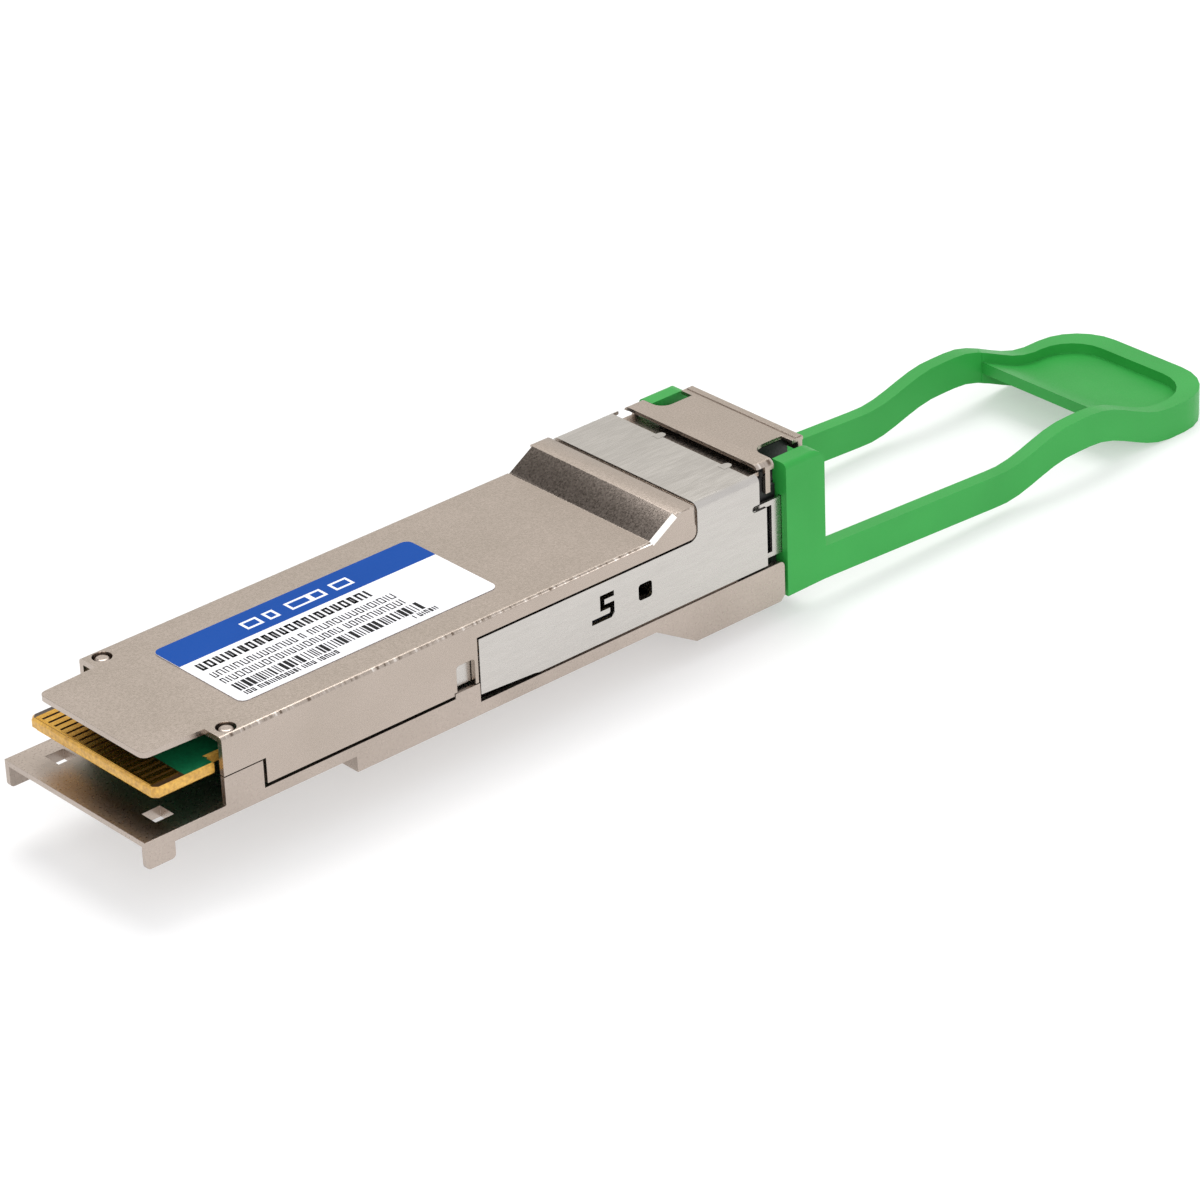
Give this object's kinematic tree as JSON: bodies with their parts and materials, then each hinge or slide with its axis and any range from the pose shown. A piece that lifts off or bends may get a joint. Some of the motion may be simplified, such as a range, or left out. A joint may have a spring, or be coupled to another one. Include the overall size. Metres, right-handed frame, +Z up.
{
  "type": "optical transceiver module",
  "caption": "Slim pluggable optical transceiver with sheet-metal shells, gold edge card, duplex fibre sockets and a sprung latch slider worked by a green pull tab.",
  "frame": {"origin": "middle of the overall length and width, level with the lowest point of the pull tab", "axes": "+X from the edge card towards the pull tab, +Y across the module, +Z up through the labelled cover"},
  "size_m": [0.1232, 0.0184, 0.0154],
  "materials": {
    "nickel_base": "nickel-plated zinc-alloy shell, satin",
    "nickel_cover": "nickel-plated shell, satin",
    "bright_steel": "stainless sheet, bright",
    "spring_steel": "steel wire and screws",
    "green_moulding": "green moulded polymer, satin",
    "dark_moulding": "black moulded polymer",
    "board_laminate": "glass-epoxy board with green solder mask",
    "gold_plate": "gold-plated copper contacts",
    "optic_case": "plated optical package and barrel",
    "flex_film": "polyimide flexible circuit",
    "ceramic": "zirconia or capacitor ceramic",
    "chip_resin": "black chip moulding compound",
    "ferrite": "ferrite",
    "gap_pad": "thermally conductive silicone pad",
    "gasket_foam": "conductive elastomer gasket",
    "label_film": "printed polyester label"
  },
  "bodies": {
    "module_body": {"base_shell": "nickel_base", "cover_shell": "nickel_cover", "receptacle_housing": "dark_moulding", "retainer_plate": "nickel_cover", "optical_barrel_near": "optic_case", "optical_barrel_far": "optic_case", "fibre_stub_near": "ceramic", "fibre_stub_far": "ceramic", "transmit_optics": "optic_case", "receive_optics": "optic_case", "transmit_flex": "flex_film", "receive_flex": "flex_film", "main_board": "board_laminate", "edge_contacts_top": "gold_plate", "edge_contacts_bottom": "gold_plate", "laser_driver_chip": "chip_resin", "receiver_amp_chip": "chip_resin", "retimer_chip": "chip_resin", "power_converter_chip": "chip_resin", "power_inductor": "ferrite", "clock_crystal": "optic_case", "tank_capacitor_near": "ceramic", "tank_capacitor_far": "ceramic", "microcontroller_chip": "chip_resin", "chip_thermal_pad": "gap_pad", "optics_thermal_pad": "gap_pad", "shield_gasket": "gasket_foam", "locating_pin_near": "bright_steel", "locating_pin_far": "bright_steel", "shell_screw_near": "spring_steel", "shell_screw_far": "spring_steel", "return_spring_near": "spring_steel", "return_spring_far": "spring_steel", "product_label": "label_film"},
    "latch": {"latch_slider": "bright_steel", "pull_tab": "green_moulding"}
  },
  "joints": [
    {"name": "latch_release", "type": "slide", "parent": "module_body", "child": "latch", "axis": [1, 0, 0], "range_m": [0, 0.002], "stiffness_N_per_m": 1500, "springref_m": -0.0015, "deforming": ["return_spring_near", "return_spring_far"]}
  ]
}
